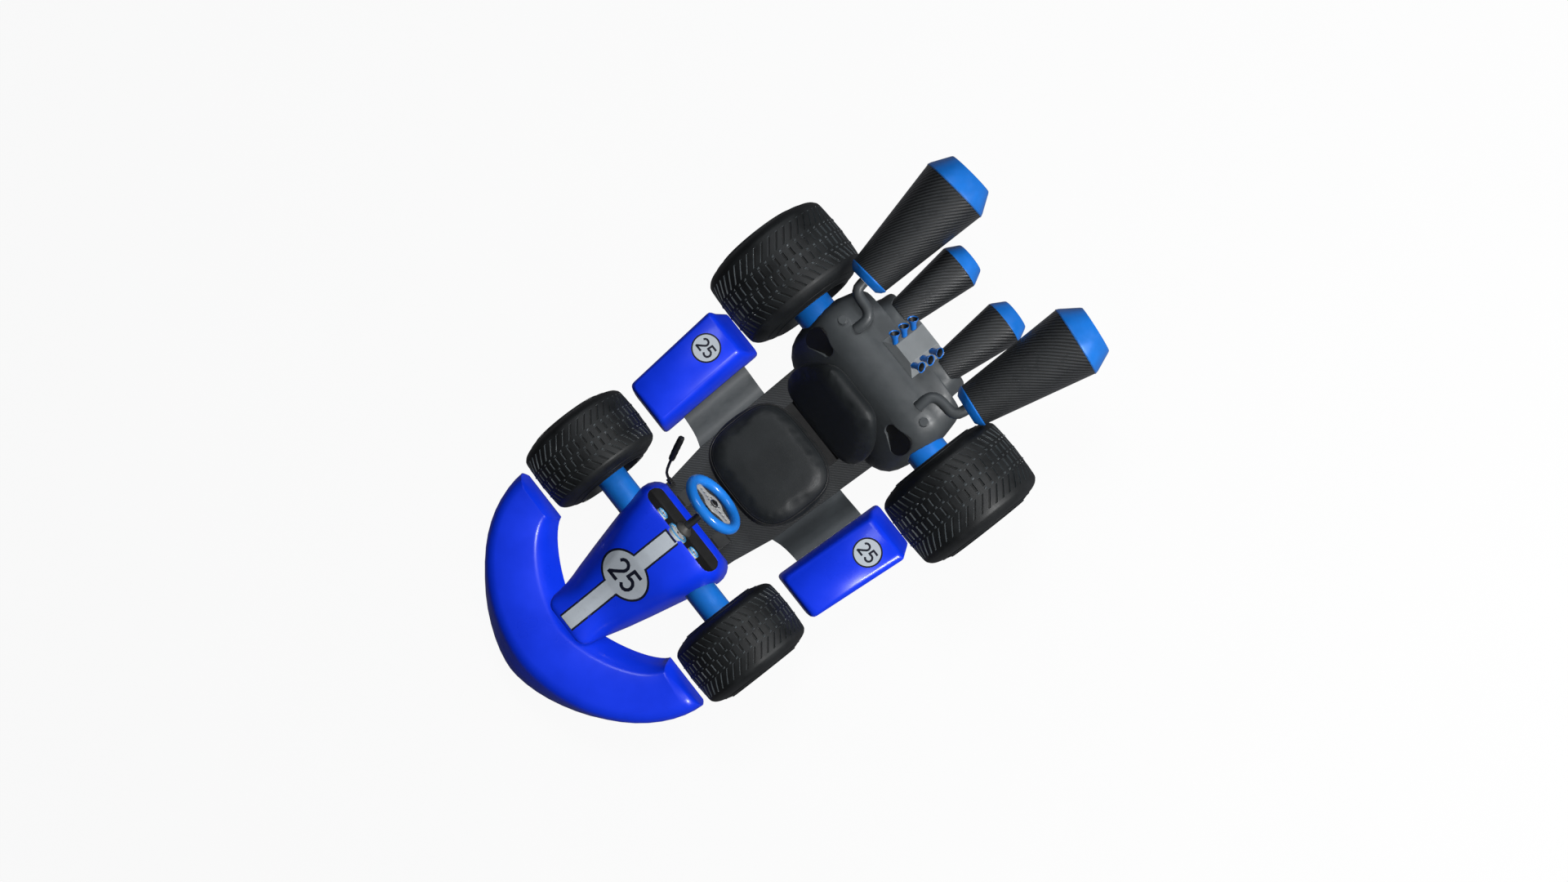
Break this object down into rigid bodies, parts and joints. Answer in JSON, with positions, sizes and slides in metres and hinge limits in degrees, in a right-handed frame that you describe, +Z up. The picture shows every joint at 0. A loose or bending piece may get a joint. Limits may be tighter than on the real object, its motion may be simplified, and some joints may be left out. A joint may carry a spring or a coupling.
{
  "type": "kart chassis",
  "caption": "Open kart chassis with a crescent front bumper, hooded nose, side pods, padded seat, steered front wheels, rear engine housing and conical exhausts.",
  "frame": {"origin": "on the ground at the middle of the kart's overall footprint", "axes": "+X the kart's left, -Y forwards, +Z up"},
  "size_m": [1.49, 2.668, 0.6687],
  "materials": {
    "body_blue": "gloss",
    "accent_blue": "satin",
    "wheel_blue": "gloss",
    "carbon": "satin carbon twill",
    "tyre_rubber": "matte",
    "wheel_metal": "dark satin",
    "engine_grey": "satin",
    "wing_grey": "satin",
    "cover_grey": "satin",
    "seat_vinyl": "satin",
    "black_plastic": "matte",
    "steel": "brushed",
    "dark_metal": "satin",
    "spoke_white": "satin",
    "dial": "gloss"
  },
  "bodies": {
    "chassis": {"axle_saddle": "dark_metal", "column_bracket": "dark_metal", "dash_panel": "black_plastic", "engine_block": "engine_grey", "engine_cover": "cover_grey", "exhaust_cone_l": "carbon", "exhaust_cone_r": "carbon", "exhaust_ring_l": "accent_blue", "exhaust_ring_r": "accent_blue", "exhaust_tip_l": "accent_blue", "exhaust_tip_r": "accent_blue", "floor_pan": "carbon", "front_axle_beam": "accent_blue", "front_bumper": "body_blue", "gauge_c": "dial", "gauge_l": "dial", "gauge_r": "dial", "gear_bracket": "dark_metal", "intake_l": "black_plastic", "intake_r": "black_plastic", "nose_cone": "body_blue", "pipe_l": "engine_grey", "pipe_r": "engine_grey", "rear_tube_l": "accent_blue", "rear_tube_r": "accent_blue", "seat_back": "seat_vinyl", "seat_cushion": "seat_vinyl", "seat_pan": "black_plastic", "side_pod_l": "body_blue", "side_pod_r": "body_blue", "side_wing_l": "wing_grey", "side_wing_r": "wing_grey", "small_cone_l": "carbon", "small_cone_r": "carbon", "small_tip_l": "accent_blue", "small_tip_r": "accent_blue", "trumpet_l1": "accent_blue", "trumpet_l2": "accent_blue", "trumpet_l3": "accent_blue", "trumpet_r1": "accent_blue", "trumpet_r2": "accent_blue", "trumpet_r3": "accent_blue"},
    "steering": {"steering_rim": "wheel_blue", "steering_spokes": "spoke_white", "horn_button": "black_plastic", "steering_shaft": "dark_metal"},
    "knuckle_left": {"knuckle_l": "steel"},
    "knuckle_right": {"knuckle_r": "steel"},
    "wheel_front_left": {"tyre_fl": "tyre_rubber", "rim_fl": "wheel_metal"},
    "wheel_front_right": {"tyre_fr": "tyre_rubber", "rim_fr": "wheel_metal"},
    "rear_axle_set": {"rear_axle": "steel", "rim_rl": "wheel_metal", "rim_rr": "wheel_metal", "tyre_rl": "tyre_rubber", "tyre_rr": "tyre_rubber"},
    "gear": {"gear_lever": "dark_metal"},
    "brake": {"brake_pedal": "dark_metal"},
    "throttle": {"throttle_pedal": "dark_metal"}
  },
  "joints": [
    {"name": "steering_turn", "type": "hinge", "parent": "chassis", "child": "steering", "pos_m": [0, -0.27902, 0.41], "axis": [0, 0.91, 0.4147], "range_deg": [-60, 60]},
    {"name": "knuckle_left_turn", "type": "hinge", "parent": "chassis", "child": "knuckle_left", "pos_m": [0.455, -0.53102, 0.243], "axis": [0, 0, 1], "range_deg": [-20, 20]},
    {"name": "knuckle_right_turn", "type": "hinge", "parent": "chassis", "child": "knuckle_right", "pos_m": [-0.455, -0.53102, 0.243], "axis": [0, 0, 1], "range_deg": [-20, 20]},
    {"name": "wheel_front_left_spin", "type": "hinge", "parent": "knuckle_left", "child": "wheel_front_left", "pos_m": [0.493, -0.53102, 0.243], "axis": [1, 0, 0], "continuous": true},
    {"name": "wheel_front_right_spin", "type": "hinge", "parent": "knuckle_right", "child": "wheel_front_right", "pos_m": [-0.493, -0.53102, 0.243], "axis": [1, 0, 0], "continuous": true},
    {"name": "rear_axle_spin", "type": "hinge", "parent": "chassis", "child": "rear_axle_set", "pos_m": [0, 0.52498, 0.285], "axis": [1, 0, 0], "continuous": true},
    {"name": "gear_shift", "type": "hinge", "parent": "chassis", "child": "gear", "pos_m": [-0.197, -0.35602, 0.14], "axis": [1, 0, 0], "range_deg": [-12, 12]},
    {"name": "brake_press", "type": "hinge", "parent": "chassis", "child": "brake", "pos_m": [0.11, -0.31802, 0.068], "axis": [1, 0, 0], "range_deg": [0, 16]},
    {"name": "throttle_press", "type": "hinge", "parent": "chassis", "child": "throttle", "pos_m": [-0.11, -0.31802, 0.068], "axis": [1, 0, 0], "range_deg": [0, 16]}
  ],
  "couplings": [
    {"joint": "knuckle_left_turn", "follows": "steering_turn", "ratio": 0.33333},
    {"joint": "knuckle_right_turn", "follows": "steering_turn", "ratio": 0.33333}
  ]
}
